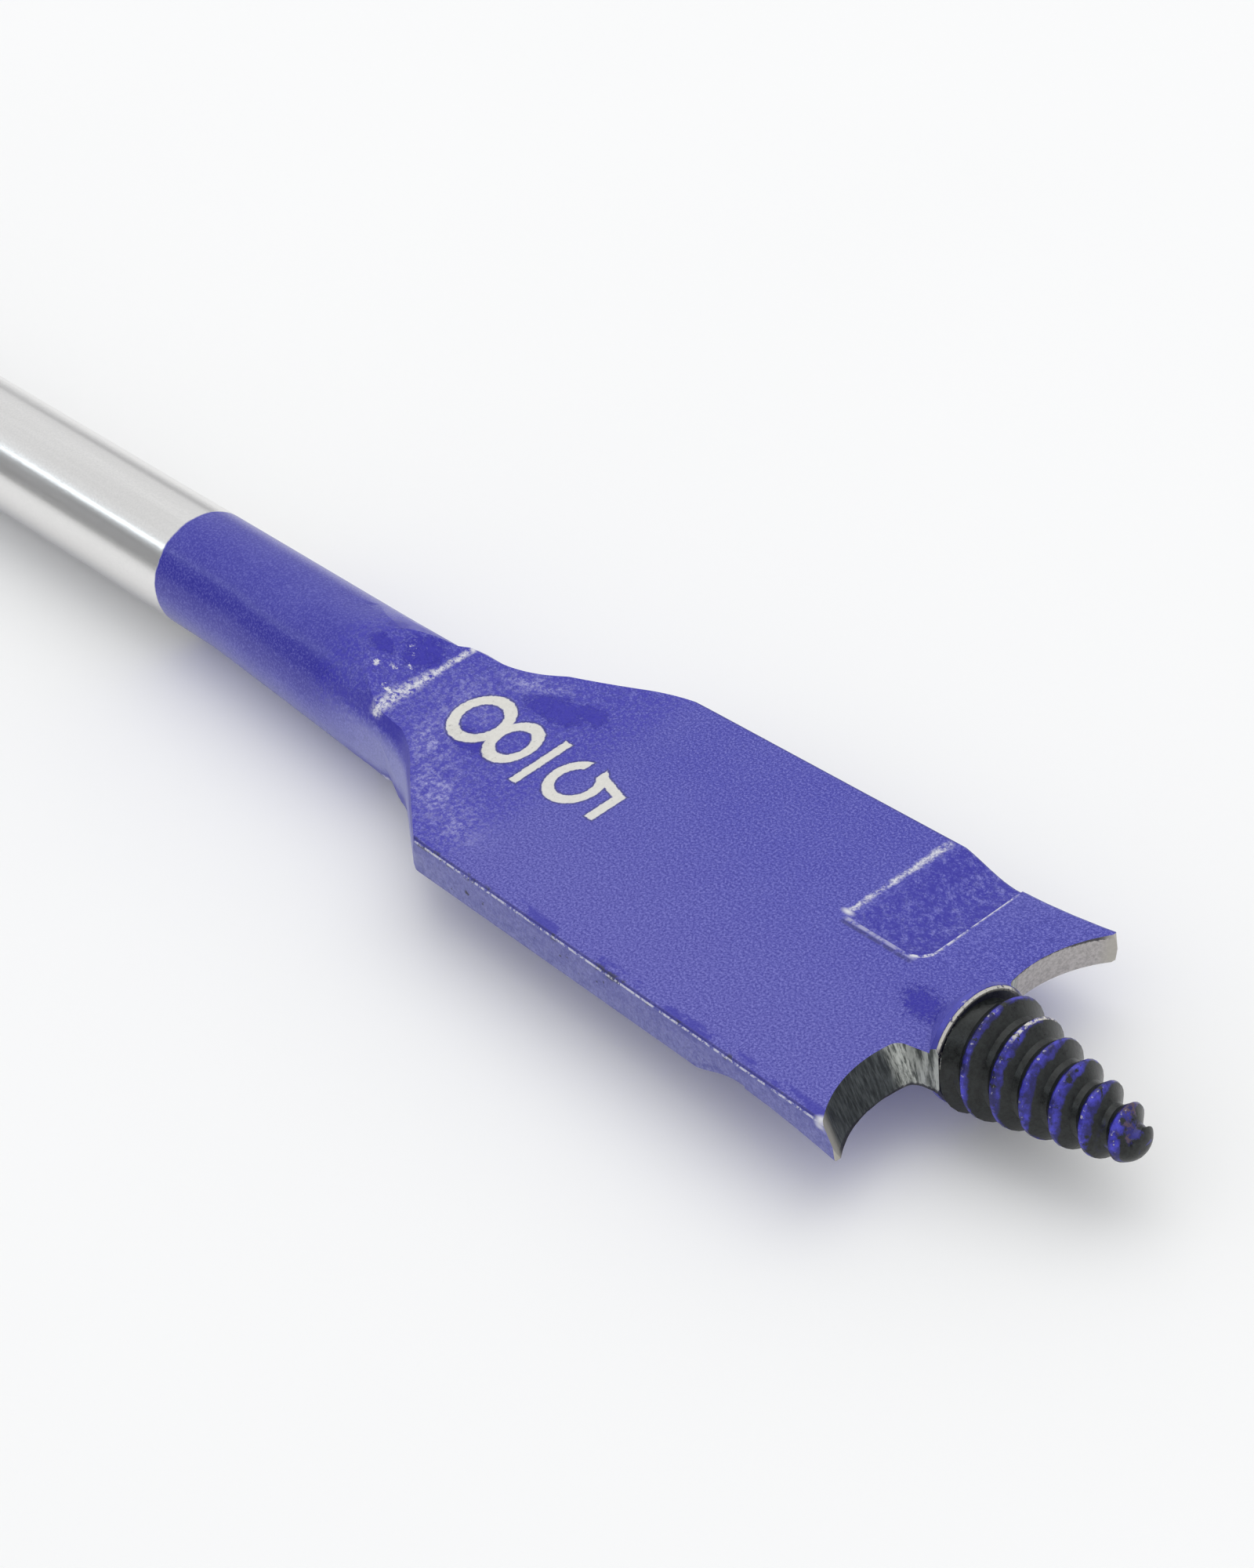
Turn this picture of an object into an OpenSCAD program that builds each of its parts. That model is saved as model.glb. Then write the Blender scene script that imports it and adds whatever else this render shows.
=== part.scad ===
// Spade drill bit: one forged and ground piece of steel.
// X runs along the bit from the end of the shank to the tip of the lead screw.
// The blade lies level, and every cut on it is repeated by a half turn about X.

/* [Overall] */
// Length from the end of the shank to the tip of the lead screw
total_length = 152.4; // [130:0.1:420]

/* [Shank] */
// Width of the hexagonal shank across its flats
hex_width = 6.35; // [6.2:0.05:9]
// Length of the hexagonal shank
hex_length = 28; // [18:0.5:40]
// Distance from the end of the shank to the middle of the locking groove
lock_distance = 9.5; // [7:0.1:13]
// Diameter left at the bottom of the locking groove
lock_d = 5.1; // [4:0.1:5.8]
// Radius of the round bottom of the locking groove
lock_r = 1.6; // [1:0.1:2.2]
// Length of the six bevels on the end of the shank
end_chamfer = 0.9; // [0.3:0.1:1.5]

/* [Rod] */
// Diameter of the round rod
rod_d = 6.1; // [5.2:0.05:6.2]
// Length of the swelling behind the neck
swell_length = 18; // [8:0.5:24]
// Diameter at the thickest place of the swelling
swell_d = 7; // [6.3:0.1:7.2]
// Distance by which the swelling stands off the axis at its thickest place
swell_offset = 0.4; // [0:0.05:0.5]
// Angle about the axis from the -Y side down to the thickest place of the swelling
swell_side = 37; // [0:1:60]

/* [Neck] */
// Distance from the spur tips back to the start of the flattened neck
neck_distance = 38.5; // [36.5:0.1:46]
// Length of the steep slope from the top of the rod down to the crease
slope_length = 2.8; // [2:0.1:4]
// Height of the crease above the axis
crease_height = 1.95; // [1.7:0.05:2.2]
// Length of the slope that flattens out from the crease to the blade
ramp_length = 9.5; // [6:0.1:10]
// Radius of the sweep from the rod out to the shoulder on the +Y side
left_sweep_r = 9; // [6:0.5:11]
// Radius of the sweep from the rod out to the shoulder on the -Y side
right_sweep_r = 16; // [10:0.5:17]

/* [Blade] */
// Width across the spurs, which is the size of hole the bit drills
blade_w = 15.875; // [14:0.025:22]
// Thickness of the blade
blade_t = 2; // [1.6:0.05:2.5]
// Angle by which each side draws in toward the shank
back_taper = 1.2; // [0:0.1:2]
// Distance from the spur tips back to the shoulder on the +Y side
left_shoulder = 26.2; // [24:0.1:27.5]
// Angle of the shoulder on the +Y side to the axis
left_angle = 28; // [25:1:34]
// Radius on the corner of the shoulder on the +Y side
left_corner_r = 9; // [2:0.5:11]
// Distance from the spur tips back to the shoulder on the -Y side
right_shoulder = 28.3; // [25:0.1:28.5]
// Angle of the shoulder on the -Y side to the axis
right_angle = 36; // [28:1:38]
// Radius on the corner of the shoulder on the -Y side
right_corner_r = 2; // [1:0.5:5]
// Chamfer along the sides of the blade
edge_chamfer = 0.12; // [0.05:0.01:0.3]

/* [Cutting lips] */
// Height of the spur tips above the lowest point of the lips
spur_height = 1.35; // [0.6:0.05:1.6]
// Distance from the axis to the lowest point of each lip
lip_low_y = 4.2; // [3.6:0.1:4.8]
// Angle by which the +Y lip falls away behind its cutting edge
left_relief = 14; // [6:1:24]
// Angle by which the -Y lip falls away behind its cutting edge
right_relief = 23; // [6:1:24]
// Width of the web between the inner ends of the lips
web_w = 5.2; // [4.4:0.1:5.6]
// Angle by which each side of the web draws in toward the lead screw
web_taper = 13; // [6:1:16]
// Radius at the inner end of each lip
root_r = 0.6; // [0.2:0.05:0.8]
// Width of the blunt end on each spur
spur_blunt = 0.2; // [0.05:0.05:0.4]
// Depth of each cutting edge below the face of the blade
lip_drop = 0.25; // [0.1:0.05:0.4]
// Depth of each spur below the face of the blade
spur_drop = 0.5; // [0.4:0.05:0.6]

/* [Chip grooves] */
// Distance from the spur tips back to the rear rim of each groove
groove_distance = 9.4; // [9:0.1:12]
// Length of each groove at its inner wall
groove_inner_length = 4.8; // [4.2:0.1:5.8]
// Length of each groove at the side of the blade
groove_outer_length = 3.9; // [3.4:0.1:5]
// Depth of each groove at its inner wall
groove_inner_depth = 0.5; // [0.3:0.05:0.8]
// Depth of each groove at the side of the blade
groove_outer_depth = 1; // [0.7:0.05:1.1]
// Distance from the axis to the inner wall of each groove
groove_inset = 1.3; // [1:0.1:2]
// Radius on the inner front corner of each groove
groove_corner_r = 0.9; // [0.3:0.1:1.2]
// Height of the step at the side of the blade between the groove and the face behind the lip
groove_step = 0.1; // [0.05:0.01:0.2]
// Distance from the groove's inner wall to where the face behind the lip starts to fall
face_inset = 0.4; // [0.2:0.1:1]

/* [Lead screw] */
// Distance from the spur tips forward to the tip of the lead screw
point_length = 8.8; // [7:0.1:14]
// Distance from the spur tips forward to the front of the collar
collar_reach = 0; // [0:0.05:0.6]
// Diameter of the collar at the foot of the lead screw
collar_d = 5.3; // [5:0.05:6]
// Diameter over the thread at the collar
screw_base_d = 5.7; // [5.2:0.05:6]
// Diameter over the thread at the tip
screw_tip_d = 2.1; // [2:0.05:2.8]
// Distance from one turn of the thread to the next
thread_pitch = 1.33; // [1:0.01:1.8]
// Depth of the thread
thread_depth = 0.48; // [0.3:0.01:0.55]
// Radius on the blunt end of the lead screw
tip_r = 0.95; // [0.3:0.05:0.95]

/* [Hidden] */
$fn = 96;
steel = [0.72, 0.72, 0.74];

// Stations along the bit
spur_x = total_length - point_length;
collar_x = spur_x + collar_reach;
lip_x = spur_x - spur_height;
groove_x = spur_x - groove_distance;
neck_x = spur_x - neck_distance;
crease_x = neck_x + slope_length;
swell_x = crease_x - swell_length;

// Half sizes
half_w = blade_w / 2;
half_t = blade_t / 2;
rod_r = rod_d / 2;
web_y = web_w / 2;
collar_r = collar_d / 2;
hex_corner_r = hex_width / 2 / cos(30);

// Height of the +Y cutting edge above the axis
lip_z = half_t - lip_drop;

// Room that a cutting shape has outside the blade
clear = 2;
// Depth to which one shape is sunk into another so that they join
sink = 0.15;

// Distance of the blade's +Y side from the axis
function side_y(x) = half_w - (spur_x - x) * tan(back_taper);

// Points on an arc about c, from angle a to angle b
function arc(c, r, a, b, n = 12) =
    [for (i = [0:n]) c + r * [cos(a + (b - a) * i / n), sin(a + (b - a) * i / n)]];

// Side of the neck and blade from the rod to the spur: sweep, straight shoulder, corner
function side_outline(shoulder, angle, corner_r, sweep_r) =
    let(
        corner = [spur_x - shoulder, side_y(spur_x - shoulder)],
        start_y = rod_r + edge_chamfer / 2,
        foot_x = corner.x - (corner.y - start_y) / tan(angle),
        sweep_c = [foot_x - sweep_r * tan(angle / 2), start_y + sweep_r],
        turn_start = corner - corner_r * tan((angle - back_taper) / 2) * [cos(angle), sin(angle)],
        turn_c = turn_start + corner_r * [sin(angle), -cos(angle)]
    )
    concat(
        arc(sweep_c, sweep_r, -90, angle - 90),
        arc(turn_c, corner_r, 90 + angle, 90 + back_taper),
        [
            [spur_x - spur_blunt, side_y(spur_x - spur_blunt)],
            [spur_x + sink, side_y(spur_x) - spur_blunt - sink]
        ]
    );

function mirrored(points) = [for (i = [len(points) - 1:-1:0]) [points[i].x, -points[i].y]];

// Turns a shape drawn in X and height so that it runs along Y between two distances
module along_y(y_from, y_to) {
    translate([0, y_to, 0])
        rotate([90, 0, 0])
            linear_extrude(height = y_to - y_from)
                children();
}

module along_x() {
    rotate([0, 90, 0])
        children();
}

// Repeats a cut on the other half of the blade by a half turn about the axis
module on_both_halves() {
    children();
    rotate([180, 0, 0])
        children();
}

// Hexagonal shank with six bevels on its end, a tapered shoulder and a locking groove
module shank() {
    shoulder = hex_corner_r - rod_r + sink;
    end_r = hex_corner_r - end_chamfer;
    difference() {
        intersection() {
            along_x()
                rotate(30)
                    cylinder(r = hex_corner_r, h = hex_length, $fn = 6);
            along_x()
                rotate(30)
                    cylinder(r1 = end_r, r2 = end_r + hex_length, h = hex_length, $fn = 6);
            along_x()
                rotate_extrude()
                    polygon([
                        [0, -sink],
                        [hex_corner_r + sink, -sink],
                        [hex_corner_r + sink, hex_length - shoulder - sink],
                        [rod_r - sink, hex_length],
                        [0, hex_length]
                    ]);
        }
        translate([lock_distance, 0, 0])
            along_x()
                rotate_extrude()
                    translate([lock_d / 2 + lock_r, 0])
                        circle(r = lock_r);
    }
}

// Round rod
module rod() {
    along_x()
        translate([0, 0, hex_length / 2])
            cylinder(r = rod_r, h = neck_x - clear / 2 - hex_length / 2);
}

// Lopsided swelling that the forging leaves behind the neck, on the -Y and lower side
module swelling() {
    lean = atan(swell_offset / swell_length);
    fade = 8;
    translate([swell_x, 0, 0])
        rotate([swell_side, 0, 0])
            rotate([0, 0, -lean])
                along_x()
                    rotate_extrude()
                        polygon([
                            [0, 0],
                            [rod_r - sink, 0],
                            [swell_d / 2, swell_length],
                            [rod_r - 2 * sink, swell_length + fade],
                            [0, swell_length + fade]
                        ]);
}

// Height of the forging as the dies leave it, seen from the side
module pressed_profile() {
    steep = (rod_r - crease_height) / slope_length;
    drop = crease_height - half_t;
    soft = 0.5;
    slope = [
        for (i = [0:12])
            let(u = soft / ramp_length + (1 - soft / ramp_length) * i / 12)
            [crease_x + ramp_length * u, half_t + drop * pow(1 - u, 2)]
    ];
    upper = concat(
        [
            [swell_x - clear, rod_d],
            [neck_x - clear, rod_r + clear * steep],
            [crease_x - soft, crease_height + soft * steep]
        ],
        [[crease_x, (crease_height + soft * steep + slope[0].y) / 2 - soft * steep / 6]],
        slope,
        [[collar_x - sink, half_t]]
    );
    polygon(concat(upper, mirrored(upper)));
}

// Outline of the neck and blade, seen from above
module blade_outline() {
    left = side_outline(left_shoulder, left_angle, left_corner_r, left_sweep_r);
    right = side_outline(right_shoulder, right_angle, right_corner_r, right_sweep_r);
    front = [[collar_x - sink, web_y + root_r], [collar_x - sink, -web_y - root_r]];
    polygon(concat(left, front, mirrored(right)));
}

// Cone that keeps the corners of the neck round where it leaves the rod
module neck_cone() {
    full_r = half_w + clear;
    widening = 0.52;
    lead = 0.7;
    start_x = crease_x - lead;
    full_x = start_x + (full_r - rod_r) / widening;
    along_x()
        rotate_extrude()
            polygon([
                [0, start_x - sink / widening],
                [rod_r - sink, start_x - sink / widening],
                [full_r, full_x],
                [full_r, collar_x + clear],
                [0, collar_x + clear]
            ]);
}

// Flaring round that softens the upper edges of the neck, about a line below the axis
module upper_round() {
    below = 1.2;
    edge_room = 1.1;
    edge_r = rod_r + edge_room;
    lead = 1.15;
    bend_r = 5;
    flare = 33;
    full_r = half_w + 2 * clear;
    bend = arc([crease_x + lead, edge_r + bend_r], bend_r, -90, flare - 90, 8);
    full_x = bend[8].x + (full_r - bend[8].y) / tan(flare);
    translate([0, 0, -below])
        along_x()
            rotate_extrude()
                polygon(concat(
                    [[0, swell_x], [edge_r, swell_x]],
                    [for (p = bend) [p.y, p.x]],
                    [[full_r, full_x], [full_r, collar_x + clear], [0, collar_x + clear]]
                ));
}

// Neck and blade, flattened out of the end of the rod
module forging() {
    intersection() {
        along_y(-half_w - clear, half_w + clear)
            pressed_profile();
        union() {
            translate([neck_x - clear, 0, 0])
                along_x()
                    cylinder(r = rod_r, h = ramp_length + slope_length);
            swelling();
            intersection() {
                linear_extrude(height = 2 * rod_d, center = true)
                    blade_outline();
                neck_cone();
                upper_round();
            }
        }
    }
}

// Chamfers along one half's two long edges
module side_chamfers() {
    length = right_shoulder + clear;
    for (side = [-1, 1])
        translate([spur_x, half_w, side * half_t])
            rotate([0, 0, back_taper])
                rotate([side * 45, 0, 0])
                    translate([-length, -edge_chamfer / sqrt(2), -half_t])
                        cube([length + clear, blade_t, blade_t]);
}

// Solid between a grid of points and a level top; rows run along X and columns along Y
module above_grid(grid, top) {
    cols = len(grid[0]);
    low = [for (row = grid) each row];
    high = [for (p = low) [p.x, p.y, top]];
    n = len(low);
    end_row = len(grid) - 1;
    end_col = cols - 1;
    function at(r, c) = r * cols + c;
    function quad(a, b, c, d) = [[a, b, d], [b, c, d]];
    floor_faces = [
        for (r = [0:end_row - 1]) for (c = [0:end_col - 1])
            each quad(at(r, c), at(r + 1, c), at(r + 1, c + 1), at(r, c + 1))
    ];
    top_faces = [for (f = floor_faces) [n + f[2], n + f[1], n + f[0]]];
    long_sides = [
        for (r = [0:end_row - 1])
            each concat(
                quad(at(r, 0), n + at(r, 0), n + at(r + 1, 0), at(r + 1, 0)),
                quad(at(r + 1, end_col), n + at(r + 1, end_col), n + at(r, end_col), at(r, end_col))
            )
    ];
    short_sides = [
        for (c = [0:end_col - 1])
            each concat(
                quad(at(0, c + 1), n + at(0, c + 1), n + at(0, c), at(0, c)),
                quad(at(end_row, c), n + at(end_row, c), n + at(end_row, c + 1), at(end_row, c + 1))
            )
    ];
    polyhedron(points = concat(low, high), faces = concat(floor_faces, top_faces, long_sides, short_sides));
}

// Part of the way from the groove's inner wall to the side of the blade
function outward(y) = (y - groove_inset) / (half_w - groove_inset);

// Front edge of the groove
function groove_front(y) =
    groove_x + groove_inner_length + (groove_outer_length - groove_inner_length) * outward(y);

// Pressed groove, open at the side of the blade and shallower at its inner wall
module chip_groove() {
    function depth(y) = groove_inner_depth + (groove_outer_depth - groove_inner_depth) * outward(y);
    // Part of the groove's length over which its floor falls, and the share of the fall at an even slope
    fall_part = 0.9;
    even_share = 0.2;
    function fall(u) =
        let(v = min(1, u / fall_part))
        u < 0 ? u : even_share * v + (1 - even_share) * (1 - cos(180 * v)) / 2;
    beyond = 0.1;
    stations = [-beyond, for (i = [0:10]) fall_part * i / 10, 1 + beyond];
    columns = [groove_inset - sink, half_w + clear];
    grid = [
        for (u = stations)
            [
                for (y = columns)
                    [groove_x + (groove_front(y) - groove_x) * u, y, half_t - depth(y) * fall(u)]
            ]
    ];
    turn = atan2(half_w - groove_inset, groove_outer_length - groove_inner_length);
    corner_c = [
        groove_front(groove_inset) - groove_corner_r * tan(turn / 2),
        groove_inset + groove_corner_r
    ];
    intersection() {
        above_grid(grid, half_t + clear);
        linear_extrude(height = 2 * clear, center = true)
            polygon(concat(
                [[groove_x - clear, half_w + clear], [groove_x - clear, groove_inset]],
                arc(corner_c, groove_corner_r, -90, turn - 90, 8),
                [[groove_front(half_w + clear), half_w + clear]]
            ));
    }
}

// Twisted face between the groove and the cutting edge
module lip_face() {
    start_y = groove_inset + face_inset;
    side_fall = groove_outer_depth - groove_step;
    lip_slope_w = 1.3;
    hollow = 1.6;
    end_x = collar_x + clear;
    first_y = start_y + sink;
    last_y = half_w + clear;
    columns = [start_y - 2 * sink, for (i = [0:8]) first_y + (last_y - first_y) * i / 8];
    function rear_fall(y) = side_fall * (y - start_y) / (half_w - start_y);
    function front_fall(y) =
        let(outer_part = max(0, (y - start_y - lip_slope_w) / (half_w - start_y - lip_slope_w)))
        lip_drop * min(1, (y - start_y) / lip_slope_w) + (spur_drop - lip_drop) * outer_part * outer_part;
    function face_point(y, u) =
        let(
            rear_x = groove_front(y) - sink,
            x = rear_x + (end_x - rear_x) * u,
            part = (x - rear_x) / (lip_x - rear_x)
        )
        [x, y, half_t - rear_fall(y) * (1 - pow(part, hollow)) - front_fall(y) * pow(part, hollow)];
    grid = [for (i = [0:5]) [for (y = columns) face_point(y, i / 5)]];
    above_grid(grid, half_t + clear);
}

// Ground lip: a hollow curve from the web to the spur, leaning back by the relief angle
module lip_cut(relief) {
    reach = half_w - lip_low_y;
    lip_r = (reach * reach + spur_height * spur_height) / (2 * spur_height);
    centre = [lip_x + lip_r, lip_low_y];
    inner = asin((lip_low_y - web_y - root_r) / lip_r);
    overrun = 4;
    outer = asin(reach / lip_r) + overrun;
    curve = arc(centre, lip_r, 180 + inner, 180 - outer, 24);
    root_c = [curve[0].x + root_r, web_y + root_r];
    wall = arc(root_c, root_r, 270 - web_taper, 180, 8);
    stop_x = collar_x + sink;
    far_x = collar_x + 3 * clear;
    far_y = wall[0].y - (far_x - wall[0].x) * tan(web_taper);
    intersection() {
        translate([lip_x, 0, lip_z])
            rotate([0, relief, 0])
                translate([-lip_x, 0, -2 * rod_d])
                    linear_extrude(height = 4 * rod_d)
                        polygon(concat(
                            [[far_x, half_w + 2 * clear], [far_x, far_y]],
                            wall,
                            curve,
                            [[curve[24].x, half_w + 2 * clear]]
                        ));
        translate([stop_x - 4 * clear, 0, -rod_d])
            cube([4 * clear, half_w + clear, 2 * rod_d]);
    }
}

// Tapered foot between the blade and the lead screw
module collar() {
    foot_r = half_t - sink;
    rim = 0.12;
    along_x()
        rotate_extrude()
            polygon([
                [0, collar_x - 3 * rim - collar_r + foot_r],
                [foot_r, collar_x - 3 * rim - collar_r + foot_r],
                [collar_r, collar_x - 3 * rim],
                [collar_r, collar_x - rim],
                [collar_r - rim, collar_x],
                [0, collar_x]
            ]);
}

// Tapered right-hand thread, wound as one strip of four lines a turn and running on past the tip
module thread_strip() {
    steps = 32;
    lines = [-0.05, 0.05, 0.4, 0.6];
    rows = len(lines);
    start_x = collar_x - thread_pitch;
    turns = floor((total_length - start_x) / thread_pitch);
    last = turns * steps;
    length = total_length - collar_x;
    first_x = total_length - turns * thread_pitch;
    function crest_r(x) =
        let(
            taper = screw_base_d / 2 + (screw_tip_d - screw_base_d) / 2 * (x - collar_x) / length,
            lead_in = half_t + (x - start_x) * (collar_r - half_t - 2 * sink) / thread_pitch
        )
        min(taper, lead_in);
    function line_r(x, row) = row < 2 ? crest_r(x) : crest_r(x) - min(thread_depth, crest_r(x) / 2);
    function line_x(n, row) = first_x + thread_pitch * (n / steps + lines[row]);
    function line_point(n, row) =
        let(x = line_x(n, row), r = line_r(x, row), a = 360 * n / steps)
        [x, r * cos(a), r * sin(a)];
    // Row number rows of one step is row 0 of the step one turn further on
    function at(n, row) = row < rows ? n * rows + row : (n + steps) * rows + row - rows;
    strip = [for (n = [0:last + steps]) for (row = [0:rows - 1]) line_point(n, row)];
    foot = len(strip);
    points = concat(strip, [[first_x - sink, 0, 0], [total_length + 2 * thread_pitch, 0, 0]]);
    sides = [
        for (n = [0:last - 1])
            for (row = [0:rows - 1])
                each [
                    [at(n, row), at(n, row + 1), at(n + 1, row)],
                    [at(n + 1, row), at(n, row + 1), at(n + 1, row + 1)]
                ]
    ];
    foot_fan = concat(
        [for (n = [0:steps - 1]) [foot, at(n, 0), at(n + 1, 0)]],
        [for (row = [0:rows - 1]) [foot, at(0, row + 1), at(0, row)]]
    );
    tip_fan = concat(
        [for (n = [last:last + steps - 1]) [foot + 1, at(n + 1, 0), at(n, 0)]],
        [for (row = [0:rows - 1]) [foot + 1, at(last, row), at(last, row + 1)]]
    );
    polyhedron(points = points, faces = concat(sides, foot_fan, tip_fan));
}

// Lead screw: the thread, cut off at the tip with a rounded edge
module lead_screw() {
    wide_r = collar_r + clear;
    back_x = collar_x - 2 * thread_pitch;
    tip_flat = screw_tip_d / 2 - tip_r;
    nose = arc([total_length - tip_r, tip_flat], tip_r, 0, 60, 8);
    cone_x = nose[8].x - (wide_r - nose[8].y) / tan(30);
    intersection() {
        thread_strip();
        along_x()
            rotate_extrude()
                polygon(concat(
                    [[0, back_x], [wide_r, back_x], [wide_r, cone_x]],
                    [for (i = [8:-1:0]) [nose[i].y, nose[i].x]],
                    [[0, total_length]]
                ));
    }
}

module spade_bit() {
    color(steel)
        union() {
            shank();
            rod();
            difference() {
                union() {
                    difference() {
                        forging();
                        on_both_halves() {
                            side_chamfers();
                            chip_groove();
                            lip_face();
                        }
                    }
                    collar();
                    lead_screw();
                }
                lip_cut(left_relief);
                rotate([180, 0, 0])
                    lip_cut(right_relief);
            }
        }
}

spade_bit();
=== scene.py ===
import math

import bmesh
import bpy
from mathutils import Matrix, Vector


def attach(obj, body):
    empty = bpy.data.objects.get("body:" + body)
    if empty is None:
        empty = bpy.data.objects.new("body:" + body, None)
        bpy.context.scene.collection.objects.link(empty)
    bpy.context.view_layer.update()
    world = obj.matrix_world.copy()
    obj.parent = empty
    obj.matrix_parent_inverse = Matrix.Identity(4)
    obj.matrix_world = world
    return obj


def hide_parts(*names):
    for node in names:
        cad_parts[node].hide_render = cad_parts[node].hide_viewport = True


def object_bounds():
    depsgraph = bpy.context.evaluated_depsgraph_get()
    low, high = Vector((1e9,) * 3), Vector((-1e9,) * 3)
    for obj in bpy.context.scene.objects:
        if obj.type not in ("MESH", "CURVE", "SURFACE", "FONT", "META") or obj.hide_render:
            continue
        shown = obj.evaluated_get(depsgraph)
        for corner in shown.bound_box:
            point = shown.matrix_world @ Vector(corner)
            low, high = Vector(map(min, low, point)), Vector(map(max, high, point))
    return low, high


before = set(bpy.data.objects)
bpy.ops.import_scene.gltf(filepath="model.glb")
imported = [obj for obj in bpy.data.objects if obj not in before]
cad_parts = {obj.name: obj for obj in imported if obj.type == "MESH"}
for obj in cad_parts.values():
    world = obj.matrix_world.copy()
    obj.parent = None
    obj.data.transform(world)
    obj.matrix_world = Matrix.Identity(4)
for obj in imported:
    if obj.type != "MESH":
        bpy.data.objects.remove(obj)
cad_low, cad_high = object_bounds()

MM = 0.001

# Stations and sizes of the bit in millimetres, from the end of the shank
HEX_LENGTH = 28.0
HEX_AF = 6.35
PAINT_X = 89.0
CREASE_X = 107.9
RAMP_X = 117.4
RAMP_LENGTH = 9.5
RAMP_RISE = 0.95
GROOVE_X = 134.2
GROOVE_LENGTH = 4.8
GROOVE_SKEW = 0.9
SPUR_X = 143.6
COLLAR_X = 143.6
TIP_X = 152.4
HALF_W = 7.9375
HALF_T = 1.0
SIDE_TAPER = math.tan(math.radians(1.2))
INSET = 1.3
PITCH = 1.33
THREAD_X = TIP_X - 7 * PITCH


def srgb(r, g, b):
    """A colour given as 0 to 255 in sRGB, in linear light with alpha."""
    def lin(v):
        v /= 255
        return v / 12.92 if v <= 0.04045 else ((v + 0.055) / 1.055) ** 2.4
    return (lin(r), lin(g), lin(b), 1.0)


# Mesh of the bit, taken from the CAD node

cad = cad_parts["spade_bit"]
mesh = cad.data.copy()
mesh.name = "bit"
mesh.materials.clear()
bit = bpy.data.objects.new("bit", mesh)
bpy.context.scene.collection.objects.link(bit)

bm = bmesh.new()
bm.from_mesh(mesh)
bmesh.ops.remove_doubles(bm, verts=bm.verts, dist=2e-6)
bm.normal_update()


def cut_across(x_low, x_high, places):
    """Cuts the faces between two stations at the given places across the blade."""
    for y in places:
        faces = [f for f in bm.faces if x_low < f.calc_center_median().x / MM < x_high]
        edges = dict.fromkeys(e for f in faces for e in f.edges)
        verts = dict.fromkeys(v for f in faces for v in f.verts)
        bmesh.ops.bisect_plane(
            bm, geom=[*faces, *edges, *verts], dist=1e-7, plane_co=(0, y * MM, 0), plane_no=(0, 1, 0)
        )


def groove_floor(x, y):
    """Height of the floor of the chip groove, which falls in a soft curve and deepens outward."""
    outward = (y - INSET) / (HALF_W - INSET)
    along = (x - GROOVE_X) / (GROOVE_LENGTH - GROOVE_SKEW * outward)
    if not (0 <= along <= 1.02 and -0.02 <= outward <= 1):
        return None
    v = min(1, along / 0.9)
    fall = 0.2 * v + 0.8 * (1 - math.cos(math.pi * v)) / 2
    return HALF_T - (0.5 + 0.5 * outward) * fall


# Cuts along the pressed neck and the grooves, so that their shading follows the slopes
cut_across(103, 120, range(-7, 8))
cut_across(GROOVE_X - 0.1, GROOVE_X + 5, [s * (1.5 + 0.45 * i) for s in (-1, 1) for i in range(15)])
for vert in bm.verts:
    x, y, z = vert.co / MM
    side = math.copysign(1, z)
    height = groove_floor(x, y * side)
    if height is not None and abs(abs(z) - height) < 0.04:
        vert.co.z = side * height * MM
bm.normal_update()

COAT, GROUND, THREAD = 0, 1, 2
for face in bm.faces:
    c = face.calc_center_median() / MM
    n = face.normal
    r = math.hypot(c.y, c.z)
    face.smooth = True
    face.material_index = COAT
    wall = abs(n.y) > 0.9 and 1.9 < abs(c.y) < 2.8 and n.x > 0.1 and 140.5 < c.x < COLLAR_X + 0.2
    lip = abs(c.y) > 2.2 and n.x > 0.5 and 140.3 < c.x < SPUR_X + 0.01 and r > 2.75
    root = 2.0 < abs(c.y) < 3.6 and n.x > 0.15 and abs(n.z) < 0.5 and 140.5 < c.x < 143.2 and r > 2.6
    if lip or wall or root:
        face.material_index = GROUND
    elif c.x > COLLAR_X - 0.45 and r < 3.2:
        face.material_index = THREAD


def on_flat(face):
    """True for a face on one of the six flats of the shank."""
    c = face.calc_center_median() / MM
    return c.x < HEX_LENGTH and abs(face.normal.x) < 1e-3 and abs(c.dot(face.normal) - HEX_AF / 2) < 5e-3


for edge in bm.edges:
    ends_flat = len({on_flat(f) for f in edge.link_faces}) > 1
    edge.smooth = edge.calc_face_angle(0) < math.radians(3 if ends_flat else 24)
bm.to_mesh(mesh)
bm.free()
normals = bit.modifiers.new("normals", "WEIGHTED_NORMAL")
normals.mode = "FACE_AREA"
normals.keep_sharp = True


# Node helpers

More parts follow.
